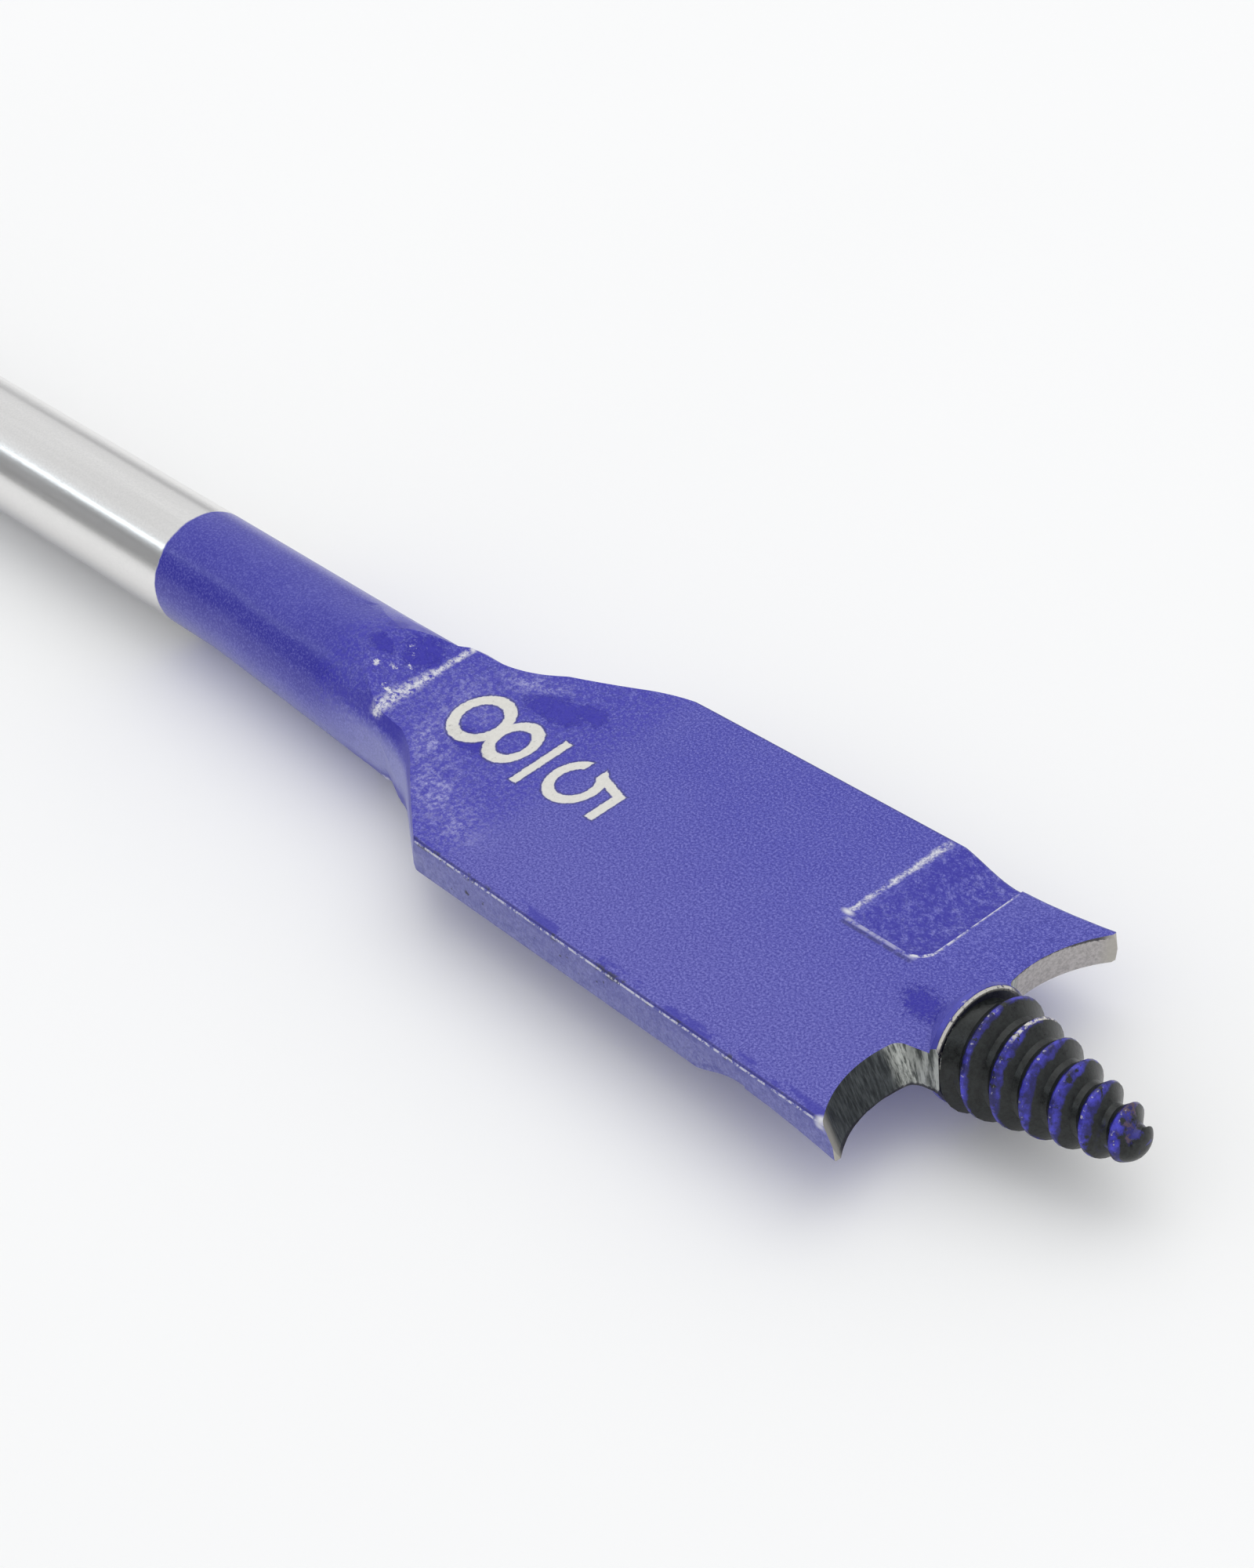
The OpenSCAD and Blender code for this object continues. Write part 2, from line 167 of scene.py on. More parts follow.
class Graph:
    """Builds one node material from short expressions on millimetre coordinates."""

    def __init__(self, name):
        self.mat = bpy.data.materials.new(name)
        self.mat.use_nodes = True
        self.tree = self.mat.node_tree
        self.tree.nodes.clear()
        out = self.add("ShaderNodeOutputMaterial")
        self.bsdf = self.add("ShaderNodeBsdfPrincipled")
        self.link(self.bsdf.outputs["BSDF"], out.inputs["Surface"])
        coords = self.add("ShaderNodeTexCoord").outputs["Object"]
        self.pos = self.vector("SCALE", coords, scale=1000.0)
        split = self.add("ShaderNodeSeparateXYZ")
        self.link(self.pos, split.inputs[0])
        self.x, self.y, self.z = split.outputs
        self.normal = None

    def add(self, kind):
        return self.tree.nodes.new(kind)

    def link(self, a, b):
        self.tree.links.new(a, b)

    def facing_up(self):
        """Upward part of the surface normal."""
        split = self.add("ShaderNodeSeparateXYZ")
        self.link(self.add("ShaderNodeNewGeometry").outputs["Normal"], split.inputs[0])
        return split.outputs["Z"]

    def put(self, value, socket):
        if isinstance(value, bpy.types.NodeSocket):
            self.link(value, socket)
        else:
            socket.default_value = value

    def math(self, op, a, b=None):
        n = self.add("ShaderNodeMath")
        n.operation = op
        self.put(a, n.inputs[0])
        if b is not None:
            self.put(b, n.inputs[1])
        return n.outputs[0]

    def vector(self, op, a, b=None, scale=None):
        n = self.add("ShaderNodeVectorMath")
        n.operation = op
        self.put(a, n.inputs[0])
        if b is not None:
            self.put(b, n.inputs[1])
        if scale is not None:
            self.put(scale, n.inputs["Scale"])
        return n.outputs[0]

    def plus(self, a, b):
        return self.math("ADD", a, b)

    def minus(self, a, b):
        return self.math("SUBTRACT", a, b)

    def times(self, *values):
        out = values[0]
        for v in values[1:]:
            out = self.math("MULTIPLY", out, v)
        return out

    def most(self, *values):
        out = values[0]
        for v in values[1:]:
            out = self.math("MAXIMUM", out, v)
        return out

    def least(self, a, b):
        return self.math("MINIMUM", a, b)

    def absolute(self, a):
        return self.math("ABSOLUTE", a)

    def reach(self, a, b):
        """Length of the vector with the parts a and b."""
        return self.math("SQRT", self.plus(self.times(a, a), self.times(b, b)))

    def smooth(self, value, low, high, to_low=0.0, to_high=1.0):
        n = self.add("ShaderNodeMapRange")
        n.interpolation_type = "SMOOTHSTEP"
        self.put(value, n.inputs["Value"])
        for key, v in (("From Min", low), ("From Max", high), ("To Min", to_low), ("To Max", to_high)):
            self.put(v, n.inputs[key])
        return n.outputs["Result"]

    def band(self, value, low, high, soft):
        """1 between low and high, falling to 0 over soft outside them."""
        return self.times(self.smooth(value, low - soft, low), self.smooth(value, high + soft, high))

    def noise(self, scale, detail=3.0, rough=0.55, stretch=None, shift=(0, 0, 0), distort=0.0):
        vec = self.pos
        if stretch:
            vec = self.vector("MULTIPLY", vec, stretch)
        vec = self.vector("ADD", vec, shift)
        n = self.add("ShaderNodeTexNoise")
        n.inputs["Scale"].default_value = scale
        n.inputs["Detail"].default_value = detail
        n.inputs["Roughness"].default_value = rough
        n.inputs["Distortion"].default_value = distort
        self.link(vec, n.inputs["Vector"])
        return n.outputs["Fac"]

    def blob(self, cx, cy, rx, ry, turn=0.0):
        """1 in the middle of an ellipse on the blade's face, falling to 0 at its rim."""
        dx, dy = self.minus(self.x, cx), self.minus(self.y, cy)
        c, s = math.cos(math.radians(turn)), math.sin(math.radians(turn))
        u = self.plus(self.times(dx, c / rx), self.times(dy, s / rx))
        v = self.plus(self.times(dx, -s / ry), self.times(dy, c / ry))
        return self.smooth(self.reach(u, v), 1.0, 0.0)

    def mix(self, fac, a, b):
        n = self.add("ShaderNodeMix")
        n.data_type = "RGBA"
        self.put(fac, n.inputs[0])
        self.put(a, n.inputs[6])
        self.put(b, n.inputs[7])
        return n.outputs[2]

    def blend(self, fac, a, b):
        n = self.add("ShaderNodeMix")
        n.data_type = "FLOAT"
        self.put(fac, n.inputs[0])
        self.put(a, n.inputs[2])
        self.put(b, n.inputs[3])
        return n.outputs[0]

    def bump(self, height, strength, distance):
        n = self.add("ShaderNodeBump")
        n.inputs["Strength"].default_value = strength
        n.inputs["Distance"].default_value = distance
        self.link(height, n.inputs["Height"])
        if self.normal:
            self.link(self.normal, n.inputs["Normal"])
        self.normal = n.outputs[0]

    def finish(self, **inputs):
        for key, v in inputs.items():
            self.put(v, self.bsdf.inputs[key.replace("_", " ")])
        if self.normal:
            self.link(self.normal, self.bsdf.inputs["Normal"])
        return self.mat


def size_mark(g):
    """Signed distance to the strokes of the size mark on the blade's face, in millimetres."""
    def ring(cx, cy, rx, ry, w):
        u = g.math("DIVIDE", g.minus(g.x, cx), rx)
        v = g.math("DIVIDE", g.minus(g.y, cy), ry)
        return g.minus(g.times(g.absolute(g.minus(g.reach(u, v), 1.0)), (rx + ry) / 2), w / 2)

    def stroke(x0, y0, x1, y1, w):
        length = math.hypot(x1 - x0, y1 - y0)
        c, s = (x1 - x0) / length, (y1 - y0) / length
        dx, dy = g.minus(g.x, (x0 + x1) / 2), g.minus(g.y, (y0 + y1) / 2)
        along = g.absolute(g.plus(g.times(dx, c), g.times(dy, s)))
        across = g.absolute(g.plus(g.times(dx, -s), g.times(dy, c)))
        return g.most(g.minus(along, length / 2), g.minus(across, w / 2))

    opening = g.least(g.minus(0.45, g.absolute(g.minus(g.x, 118.4))), g.minus(g.y, 0.4))
    bowl = g.most(ring(118.36, -0.1, 1.165, 1.26, 0.55), opening)
    strokes = [
        ring(111.7, -0.06, 1.165, 1.425, 0.57),
        ring(114.0, -0.1, 0.945, 1.25, 0.57),
        stroke(115.94, 1.56, 116.07, -1.88, 0.46),
        bowl,
        stroke(118.95, 0.94, 120.85, 0.42, 0.46),
        stroke(120.76, 0.62, 120.8, -1.4, 0.52),
    ]
    nearest = strokes[0]
    for s in strokes[1:]:
        nearest = g.least(nearest, s)
    return nearest


def coat_material():
    """Bare rod, blue coat, worn edges, scuffs, the size mark, and painted shade, highlights and reflections."""
    g = Graph("coat")
    grain = g.noise(9.0, 3.0, 0.8)
    cloud = g.noise(0.3, 4.0, 0.6)
    specks = g.noise(4.5, 4.0, 0.7, shift=(7, 3, 1))
    broken = g.noise(2.2, 4.0, 0.75, shift=(2, 9, 4))
    mottle = g.noise(2.6, 6.0, 0.85, shift=(4, 4, 4))
    chips = g.noise(4.0, 4.0, 0.75, shift=(5, 1, 2))
    streaks = g.noise(1.5, 6.0, 0.8, stretch=(1.0, 0.5, 1.0), shift=(3, 8, 1), distort=0.5)
    on_top = g.smooth(g.z, 0.5, 0.7)

    # The two halves of the blade match by a half turn, so their marks share this distance
    ys = g.times(g.y, g.math("SIGN", g.z))

    mark_d = g.plus(size_mark(g), g.times(g.minus(specks, 0.5), 0.2))
    mark = g.times(g.smooth(mark_d, 0.03, -0.03), on_top)
    mark_rim = g.times(g.band(mark_d, 0.02, 0.07, 0.04), on_top)

    # Bare steel behind the paint line
    wobble = g.times(g.minus(g.noise(0.9, 2.0), 0.5), 0.3)
    painted = g.smooth(g.plus(g.x, wobble), PAINT_X - 0.07, PAINT_X + 0.07)

    # Worn rims of the chip grooves
    outer = g.smooth(ys, INSET + 0.1, INSET + 0.5)
    rear = g.absolute(g.plus(g.minus(g.x, GROOVE_X + 0.12), g.times(g.minus(broken, 0.5), 0.5)))
    far_part = g.smooth(ys, 1.0, 7.0, 0.18, 0.32)
    dashes = g.smooth(g.plus(g.noise(1.6, 4.0, 0.8), g.times(far_part, 0.5)), 0.46, 0.68)
    inside = g.smooth(ys, HALF_W - 0.3, HALF_W - 0.6)
    rear_line = g.times(g.smooth(rear, far_part, 0.03), outer, dashes, inside)
    rear_line = g.times(rear_line, g.smooth(grain, 0.36, 0.56, 0.35, 1.0))
    corner = g.blob(GROOVE_X + 0.08, INSET + 0.25, 0.5, 0.24)
    front_at = g.plus(g.times(g.minus(ys, INSET), -GROOVE_SKEW / (HALF_W - INSET)), GROOVE_X + GROOVE_LENGTH)
    front = g.absolute(g.minus(g.x, g.plus(front_at, -0.03)))
    front_line = g.smooth(front, g.smooth(ys, 2.0, 6.0, 0.24, 0.15), 0.03)
    front_line = g.times(front_line, g.smooth(ys, 2.0, 2.4), inside, g.smooth(broken, 0.36, 0.52))
    bend = g.reach(g.minus(g.x, GROOVE_X + 3.9), g.minus(ys, INSET + 0.9))
    bend = g.times(g.smooth(g.absolute(g.minus(bend, 0.9)), 0.14, 0.03), g.smooth(broken, 0.42, 0.54))
    bend = g.times(bend, g.smooth(g.x, GROOVE_X + 3.9, GROOVE_X + 4.2), g.smooth(ys, INSET + 0.95, INSET + 0.8))

    # Worn long edges and the bare flare by the spur
    side_y = g.plus(HALF_W, g.times(g.minus(g.x, SPUR_X), SIDE_TAPER))
    edge_in = g.plus(g.minus(side_y, g.absolute(g.y)), g.minus(HALF_T, g.absolute(g.z)))
    long_edge = g.times(g.smooth(edge_in, 0.19, 0.14), g.smooth(g.x, 115.0, 116.0))
    cutting_side = g.smooth(ys, 0.5, -0.5)
    edge = g.times(long_edge, cutting_side, g.band(g.absolute(g.z), 0.89, 0.93, 0.02))
    edge = g.times(edge, g.smooth(chips, 0.43, 0.56), 0.7)
    flare = g.times(g.blob(142.75, -7.8, 0.45, 0.3), on_top)

    # Painted highlight along the concave crease of the forging, broken by scuffs, and bare specks behind its
    # near end
    crease_w = g.smooth(g.y, 1.5, -2.0, 0.24, 0.62)
    crease = g.absolute(g.plus(g.minus(g.x, CREASE_X - 0.03), g.times(g.minus(mottle, 0.5), 0.5)))
    crease_highlight = g.times(g.smooth(crease, crease_w, 0.02), g.smooth(chips, 0.36, 0.6))
    crease_highlight = g.times(crease_highlight, g.smooth(g.absolute(g.z), 1.5, 1.7))
    dots = g.most(
        g.blob(105.9, -1.45, 0.5, 0.4),
        g.blob(107.3, -2.0, 0.7, 0.5),
        g.blob(107.0, -0.4, 0.4, 0.3),
        g.blob(106.5, -1.0, 0.5, 0.4),
        g.times(g.blob(106.3, 0.4, 1.2, 1.2), 0.4),
    )
    near_dots = g.times(g.smooth(g.z, 1.5, 1.8), g.smooth(dots, 0.0, 0.2))
    dots = g.times(g.smooth(g.plus(mottle, g.times(dots, 0.22)), 0.66, 0.74), near_dots)

    # The painted crease highlight joins the worn rims and takes the colour of bare metal
    rims_and_highlight = g.most(rear_line, corner, front_line, bend, edge, crease_highlight, dots, flare)
    bare_and_highlight = g.most(g.minus(1.0, painted), mark, rims_and_highlight)

    # Blue coat: paler toward the near side as a painted reflection, deeper along the rod and the steep part of
    # the neck as painted shade, paler below as painted bounce light from the floor, a painted dark reflection
    # band on the near side of the rod, and a fine grain
    # Painted reflection: paler toward the near side
    blue = g.mix(g.smooth(g.y, 5.0, -7.0), srgb(62, 62, 171), srgb(84, 82, 174))
    # Painted shade: deeper blue along the rod and up the steep part of the neck
    blue = g.mix(g.smooth(g.x, 106.0, 103.0, 0.0, 0.85), blue, srgb(52, 50, 162))
    blue = g.mix(g.smooth(cloud, 0.35, 0.7, 0.0, 0.3), blue, srgb(88, 90, 180))
    # Painted bounce light from the floor: paler toward the underside
    blue = g.mix(g.smooth(g.z, 0.8, -1.8, 0.0, 0.75), blue, srgb(118, 122, 180))
    on_rod = g.smooth(g.x, 107.0, 103.0)
    # Painted dark reflection in a band along the upper near side of the rod
    rod_dark_reflection = g.times(on_rod, g.band(g.z, 0.9, 1.9, 0.9), g.smooth(g.y, -0.8, -1.8), 0.6)
    blue = g.mix(rod_dark_reflection, blue, srgb(38, 34, 150))
    coarse = g.smooth(on_rod, 0.0, 1.0, 1.0, 0.55)
    blue = g.mix(g.times(coarse, g.smooth(grain, 0.48, 0.64, 0.0, 0.75)), blue, srgb(126, 126, 206))
    blue = g.mix(g.times(coarse, g.smooth(grain, 0.52, 0.36, 0.0, 0.8)), blue, srgb(40, 38, 144))

    # Pale scuffs and deep blue smudges on the neck; the deep blue just behind the crease is painted shade of
    # the steep slope
    pale = g.most(
        g.blob(111.3, -2.6, 2.6, 1.8, -35),
        g.blob(113.8, -4.5, 3.6, 1.9, -25),
        g.times(g.blob(116.6, -5.4, 3.0, 1.8, -10), 0.7),
        g.blob(111.6, 3.1, 3.0, 1.1, 28),
        g.times(g.blob(110.4, 0.2, 3.0, 3.0), 0.6),
    )
    pale = g.times(pale, g.smooth(g.absolute(g.z), 0.9, 1.0))
    scuffs = g.times(pale, g.smooth(g.plus(g.times(mottle, 0.5), g.times(streaks, 0.5)), 0.44, 0.58))
    blue = g.mix(g.times(scuffs, 0.8), blue, srgb(176, 176, 222))
    deep = g.most(
        g.blob(113.6, 2.7, 2.8, 1.5, 12),
        g.blob(115.2, 3.5, 1.8, 1.0),
        # These three, behind the crease, are painted shade of the steep slope; the others are smudges
        g.blob(104.6, 0.9, 1.0, 0.8),
        g.blob(105.2, -0.5, 1.2, 0.8),
        g.blob(106.7, 0.7, 1.6, 1.8),
        g.times(g.blob(140.9, -0.5, 2.4, 1.4, -15), 0.8),
        g.times(g.blob(112.4, -1.4, 2.4, 1.4), 0.7),
    )
    ragged = g.plus(deep, g.times(g.minus(mottle, 0.5), 2.6))
    deep = g.times(g.smooth(ragged, 0.3, 0.6), on_top, g.smooth(deep, 0.0, 0.15))
    blue = g.mix(g.times(deep, g.smooth(grain, 0.66, 0.42, 0.7, 1.0)), blue, srgb(24, 14, 156))
    speckled = g.times(g.band(g.x, 104.0, 117.0, 2.0), on_top, g.smooth(chips, 0.56, 0.44, 0.0, 0.7))
    blue = g.mix(speckled, blue, srgb(44, 37, 170))
    blue = g.mix(g.times(mark_rim, 0.6), blue, srgb(44, 44, 96))

    # Flanks of the neck: painted shade in deep blue below the rim of the face, and painted bounce light from
    # the floor making them paler and greyer under it
    steep = g.smooth(g.absolute(g.facing_up()), 0.8, 0.6)
    flank_shading = g.times(g.smooth(g.x, 102.0, 109.5), g.smooth(g.x, 116.6, 115.8), steep)
    ramp = g.least(g.most(0.0, g.times(g.minus(RAMP_X, g.x), 1 / RAMP_LENGTH)), 1.0)
    rim_z = g.plus(HALF_T, g.times(ramp, ramp, RAMP_RISE))
    under = g.plus(g.minus(rim_z, g.absolute(g.z)), g.times(g.minus(streaks, 0.5), 0.3))
    # Painted bounce light: paler and greyer lower down the flank
    blue = g.mix(g.times(flank_shading, g.smooth(under, 0.45, 1.2, 0.0, 0.6)), blue, srgb(152, 155, 198))
    # Painted shade: deep blue just below the rim of the face
    blue = g.mix(g.times(flank_shading, g.smooth(under, 0.75, 0.4, 0.0, 0.75)), blue, srgb(46, 41, 158))

    # Smears of deep blue just inside the near edge, and the dark line of the far edge
    inner = g.times(g.band(edge_in, 0.2, 0.5, 0.25), on_top, cutting_side)
    smears = g.smooth(g.noise(0.7, 4.0, 0.7, stretch=(0.5, 1, 1), shift=(1, 6, 3)), 0.49, 0.57)
    blue = g.mix(g.times(inner, smears, g.smooth(g.x, 118.0, 121.0), 0.75), blue, srgb(40, 36, 158))
    blue = g.mix(g.times(long_edge, g.smooth(g.absolute(g.z), 0.94, 0.96), 0.6), blue, srgb(44, 42, 110))

    # Floor of the grooves, a painted shadow line at the foot of their inner walls, and a painted highlight
    # along their rim
    pocket = g.times(g.smooth(g.x, GROOVE_X + 0.1, GROOVE_X + 0.8), g.smooth(g.minus(front_at, g.x), 0.0, 0.3))
    pocket = g.times(outer, pocket)
    blue = g.mix(g.times(pocket, g.smooth(mottle, 0.57, 0.44), 0.85), blue, srgb(38, 32, 160))
    blue = g.mix(g.times(pocket, g.smooth(mottle, 0.54, 0.66), 0.5), blue, srgb(142, 142, 210))
    along_wall = g.band(g.x, GROOVE_X + 0.5, GROOVE_X + 4.2, 0.4)
    # Painted shadow along the inner wall
    wall_shadow_line = g.smooth(g.absolute(g.minus(ys, INSET - 0.3)), 0.16, 0.04)
    wall_shadow_line = g.times(wall_shadow_line, along_wall, g.smooth(broken, 0.3, 0.5))
    blue = g.mix(g.times(wall_shadow_line, 0.65), blue, srgb(44, 44, 100))
    # Painted highlight on the rounded rim of the inner wall
    wall_highlight = g.smooth(g.absolute(g.minus(ys, INSET - 0.07)), 0.17, 0.05)
    wall_highlight = g.times(wall_highlight, along_wall, g.smooth(broken, 0.36, 0.56))
    blue = g.mix(g.times(wall_highlight, 0.7), blue, srgb(182, 182, 208))

    # Side faces: greyer as a painted reflection of the floor, with dark specks
    at_side = g.smooth(g.minus(side_y, g.absolute(g.y)), 0.1, 0.02)
    side = g.times(g.smooth(g.absolute(g.z), 1.0, 0.9), at_side)
    side_reflection_blue = g.mix(g.smooth(mottle, 0.4, 0.6), srgb(86, 91, 140), srgb(128, 132, 172))
    blue = g.mix(g.times(side, 0.5), blue, side_reflection_blue)
    spots = g.smooth(g.noise(1.7, 3.0, 0.6, shift=(9, 2, 6)), 0.68, 0.74)
    blue = g.mix(g.times(spots, g.most(side, g.times(long_edge, 0.7))), blue, srgb(30, 30, 60))
    nicks = g.smooth(g.noise(1.1, 3.0, 0.7, shift=(8, 8, 2)), 0.58, 0.64)
    nicks = g.times(g.smooth(edge_in, 0.3, 0.14), cutting_side, nicks)
    blue = g.mix(g.times(nicks, g.smooth(g.x, 115.5, 116.5), 0.7), blue, srgb(52, 54, 66))

    # Bare metal: drawn steel on the rod, darker toward its underside as painted shade, and dull pale metal in
    # the mark, on the worn rims and in the painted crease highlight
    draw = g.noise(1.6, 4.0, 0.6, stretch=(0.02, 1, 1))
    steel = g.mix(draw, srgb(226, 224, 222), srgb(244, 243, 242))
    steel = g.mix(g.smooth(grain, 0.6, 0.4, 0.0, 0.2), steel, srgb(204, 204, 204))
    # Painted shade: darker toward the underside of the rod
    steel = g.mix(g.smooth(g.z, 0.0, -1.4, 0.0, 0.6), steel, srgb(190, 190, 196))
    pale_metal = g.mix(specks, srgb(204, 202, 195), srgb(238, 236, 231))
    pale_metal = g.mix(g.smooth(chips, 0.6, 0.7, 0.0, 0.5), pale_metal, srgb(150, 150, 146))
    metal = g.mix(painted, steel, g.mix(mark, srgb(220, 220, 228), pale_metal))

    colour = g.mix(bare_and_highlight, blue, metal)
    rough = g.blend(bare_and_highlight, g.smooth(grain, 0.2, 0.8, 0.34, 0.46), g.smooth(draw, 0.2, 0.8, 0.18, 0.28))
    rough = g.blend(g.times(g.most(mark, rims_and_highlight), painted), rough, 0.55)
    rough = g.blend(g.times(painted, g.smooth(g.x, 106.0, 103.0, 0.0, 0.8)), rough, 0.22)
    g.bump(grain, 0.22, 0.00002)
    g.bump(g.times(mottle, g.most(pale, deep, pocket)), 0.4, 0.00005)
    g.bump(g.minus(1.0, bare_and_highlight), 0.35, 0.00002)
    g.bsdf.inputs["Specular IOR Level"].default_value = 0.35
    return g.finish(Base_Color=colour, Metallic=g.minus(1.0, painted), Roughness=rough)


def ground_material():
    """Ground lips and web: striated bare steel, darkened on the -Y lip."""
    g = Graph("ground")
    lines = g.noise(3.0, 4.0, 0.7, stretch=(1.0, 2.5, 0.1))
    specks = g.noise(6.0, 4.0, 0.75)
    pale = g.mix(g.smooth(specks, 0.36, 0.62), srgb(166, 161, 160), srgb(198, 193, 192))
    dark = g.mix(g.smooth(lines, 0.35, 0.7), srgb(46, 50, 53), srgb(94, 99, 101))
    striped = g.mix(g.smooth(lines, 0.36, 0.6), srgb(78, 82, 80), srgb(192, 195, 190))
    near = g.smooth(g.y, 0.5, -0.5)
    root = g.smooth(g.absolute(g.y), 3.6, 3.1)
    tip = g.smooth(g.absolute(g.y), 7.2, 7.8)
    colour = g.mix(near, pale, dark)
    colour = g.mix(root, colour, striped)
    colour = g.mix(g.times(tip, 0.8), colour, srgb(190, 186, 176))

    # Ragged end of the paint along the cutting edges
    top_z = g.smooth(g.absolute(g.y), 4.2, 7.9, 0.75, 0.55)
    below = g.minus(top_z, g.times(g.z, g.math("SIGN", g.y)))
    ragged = g.smooth(g.plus(below, g.times(g.minus(specks, 0.5), 0.3)), 0.1, 0.03)
    colour = g.mix(g.times(ragged, g.minus(1.0, tip), 0.9), colour, srgb(40, 38, 50))
    g.bump(lines, 0.3, 0.00003)
    return g.finish(Base_Color=colour, Metallic=0.4, Roughness=g.smooth(specks, 0.2, 0.8, 0.36, 0.5))


def thread_material():
    """Dark lead screw with rests of the blue coat along its crest."""
    g = Graph("thread")
    specks = g.noise(5.0, 4.0, 0.7)
    patches = g.noise(1.3, 4.0, 0.6, shift=(3, 1, 8))
    r = g.reach(g.y, g.z)
    turn = g.times(g.math("ARCTAN2", g.z, g.y), 1 / (2 * math.pi))
    phase = g.minus(g.times(g.minus(g.x, THREAD_X), 1 / PITCH), turn)
    phase = g.math("FRACT", g.plus(phase, 10.5))

    # Side of the screw on which most of the coat is left
    kept = g.math("DIVIDE", g.plus(g.times(g.y, -0.64), g.times(g.z, 0.77)), r)
    ragged = g.times(g.minus(patches, 0.5), 0.24)
    wider = g.smooth(g.x, 145.0, 147.5, -0.05, 0.06)
    wider = g.times(wider, g.smooth(kept, 0.3, 0.8))
    ahead = g.plus(g.plus(g.smooth(kept, 0.1, 0.95, 0.57, 0.69), ragged), wider)
    behind = g.minus(g.smooth(kept, 0.1, 0.95, 0.43, 0.33), g.times(ragged, 0.6))
    into = g.least(g.minus(ahead, phase), g.minus(phase, behind))
    coated = g.times(g.smooth(into, 0.0, 0.05), g.smooth(kept, -0.85, -0.55))
    coated = g.times(coated, g.smooth(g.x, COLLAR_X + 0.35, COLLAR_X + 0.6))
    coated = g.times(coated, g.smooth(g.noise(2.4, 4.0, 0.6, shift=(6, 6, 1)), 0.34, 0.42))
    at_tip = g.times(g.smooth(g.x, TIP_X - 1.7, TIP_X - 1.1), g.smooth(kept, -0.2, 0.3))
    at_tip = g.times(at_tip, g.smooth(patches, 0.49, 0.56))
    coated = g.most(coated, at_tip)
    crest = g.smooth(g.absolute(g.minus(phase, 0.5)), 0.08, 0.05)

    dark = g.mix(g.smooth(specks, 0.3, 0.7), srgb(15, 17, 18), srgb(40, 44, 43))
    shades = g.smooth(g.noise(1.8, 4.0, 0.65, shift=(1, 4, 4)), 0.38, 0.68)
    blue = g.mix(g.times(shades, g.smooth(into, 0.0, 0.12, 0.3, 1.0)), srgb(15, 10, 92), srgb(64, 60, 194))
    brown = g.times(at_tip, g.smooth(shades, 0.3, 0.0), 0.7)
    colour = g.mix(coated, dark, g.mix(brown, blue, srgb(92, 70, 66)))

    # Worn crest, glints on the coat, and the bare rim of the collar with a dark step before it
    worn = g.times(crest, g.smooth(specks, 0.42, 0.54), g.band(g.x, 145.1, 146.5, 0.2))
    worn = g.times(worn, g.smooth(g.y, -0.9, -0.3), g.smooth(g.z, 1.0, 1.5))
    glints = g.smooth(g.noise(6.0, 2.0, 0.5, shift=(2, 2, 7)), 0.6, 0.68)
    glints = g.times(crest, g.smooth(kept, 0.5, 0.8), glints)
    step = g.smooth(g.plus(g.x, g.times(g.minus(specks, 0.5), 0.12)), COLLAR_X - 0.08, COLLAR_X - 0.12)
    collar = g.smooth(g.x, COLLAR_X + 0.02, COLLAR_X - 0.02)
    colour = g.mix(collar, colour, g.mix(step, srgb(38, 38, 70), srgb(74, 74, 172)))
    rim = g.times(g.band(g.x, COLLAR_X - 0.08, COLLAR_X - 0.01, 0.02), g.smooth(r, 2.4, 2.5))
    rim = g.times(rim, g.smooth(g.z, 1.0, 1.5), g.smooth(g.y, 2.2, 1.8), g.smooth(specks, 0.34, 0.48))
    colour = g.mix(g.most(worn, rim, g.times(glints, 0.5)), colour, srgb(210, 206, 198))
    g.bump(specks, 0.3, 0.00004)
    rough = g.smooth(specks, 0.2, 0.8, 0.24, 0.42)
    return g.finish(Base_Color=colour, Metallic=g.blend(coated, 0.3, 0.0), Roughness=rough)


for make in (coat_material, ground_material, thread_material):
    mesh.materials.append(make())

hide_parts("spade_bit")
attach(bit, "root")

# Floor, light and camera

floor_z = cad_low[2]
bpy.ops.mesh.primitive_plane_add(size=1.6, location=(0.1, 0, floor_z))
floor = bpy.context.object
floor.name = "floor"
g = Graph("floor")
tone = g.noise(0.02, 2.0, 0.5)
floor.data.materials.append(
    g.finish(Base_Color=g.mix(tone, srgb(251, 251, 251), srgb(254, 254, 254)), Roughness=0.9)
)

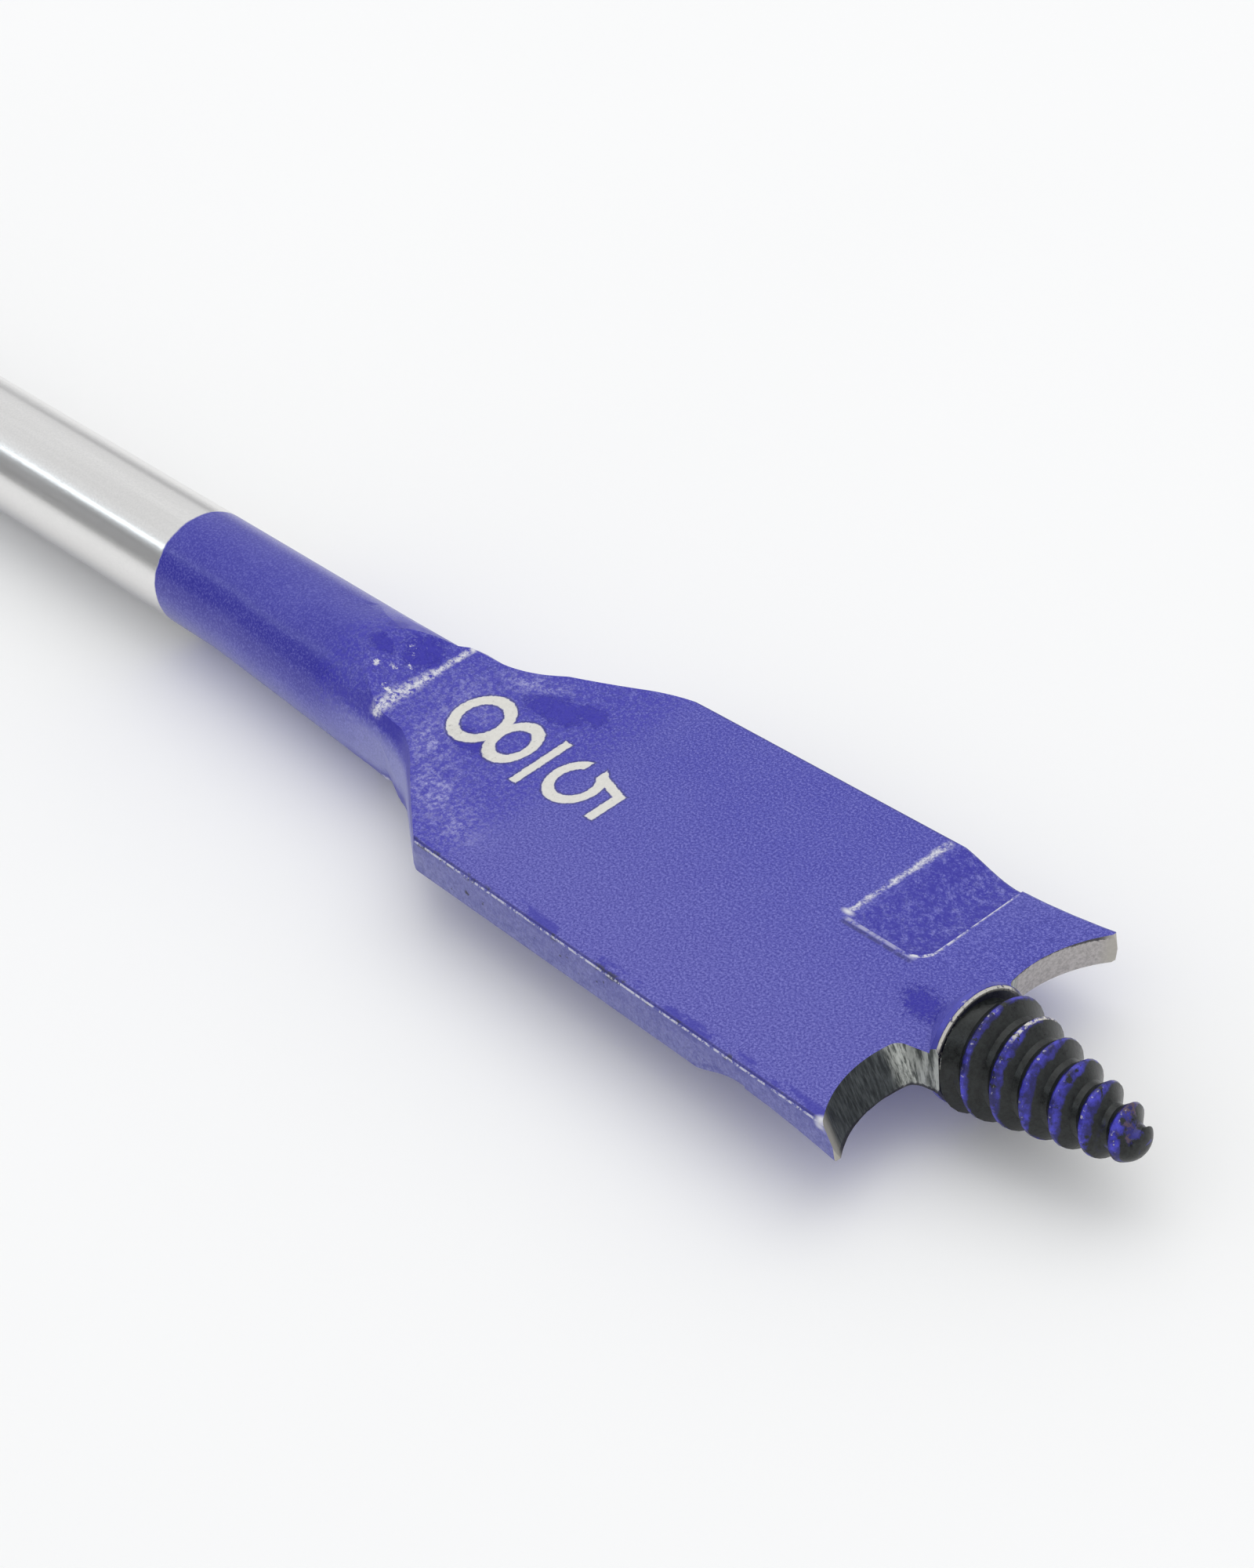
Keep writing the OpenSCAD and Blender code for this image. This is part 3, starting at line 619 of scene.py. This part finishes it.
light = bpy.data.lights.new("top", "AREA")
light.shape = "RECTANGLE"
light.size, light.size_y = 1.0, 0.8
light.energy = 1.6
light.color = (1, 0.99, 0.97)
softbox = bpy.data.objects.new("top", light)
softbox.location = (0.0, 0.3, 0.75)
to_bit = Vector((0.12, 0, 0)) - Vector((0.0, 0.3, 0.75))
softbox.rotation_euler = to_bit.to_track_quat("-Z", "Y").to_euler()
bpy.context.scene.collection.objects.link(softbox)


def card(name, y, low, high, tone, glow=0.0):
    """Upright card along the bit, which only shows in its shine."""
    sheet = bpy.data.meshes.new(name)
    sheet.from_pydata([(-1.2, y, low), (0.5, y, low), (0.5, y, high), (-1.2, y, high)], [], [(0, 1, 2, 3)])
    o = bpy.data.objects.new(name, sheet)
    bpy.context.scene.collection.objects.link(o)
    o.visible_camera = o.visible_diffuse = o.visible_shadow = False
    g = Graph(name)
    paper = g.mix(g.noise(0.02), srgb(tone, tone, tone), srgb(tone + 6, tone + 6, tone + 8))
    g.bsdf.inputs["Emission Color"].default_value = (0.84, 0.94, 1, 1)
    g.bsdf.inputs["Emission Strength"].default_value = glow
    sheet.materials.append(g.finish(Base_Color=paper, Roughness=0.9))


card("dark card", -0.5, 0.0, 0.6, 148)
card("strip", -0.49, 0.5, 0.53, 230, 9.0)
card("rear card", 0.5, 0.0, 0.16, 192)

world = bpy.data.worlds.new("world")
bpy.context.scene.world = world
world.use_nodes = True
sky = world.node_tree.nodes["Background"]
sky.inputs["Color"].default_value = (0.99, 1.0, 1.01, 1)
sky.inputs["Strength"].default_value = 0.82

data = bpy.data.cameras.new("camera")
data.sensor_width = 36.0
data.lens = 83.7
data.clip_start = 0.005
data.dof.use_dof = False
camera = bpy.data.objects.new("camera", data)
right = Vector((0.63998, 0.75523, -0.14160))
down = Vector((0.38533, -0.47488, -0.79121))
ahead = Vector((-0.66479, 0.45179, -0.59493))
turn = Matrix((right, -down, -ahead)).transposed().to_4x4()
camera.matrix_world = Matrix.Translation(Vector((226.682, -71.009, 96.217)) * MM) @ turn
bpy.context.scene.collection.objects.link(camera)
bpy.context.scene.camera = camera
bpy.context.scene.view_settings.view_transform = "Standard"
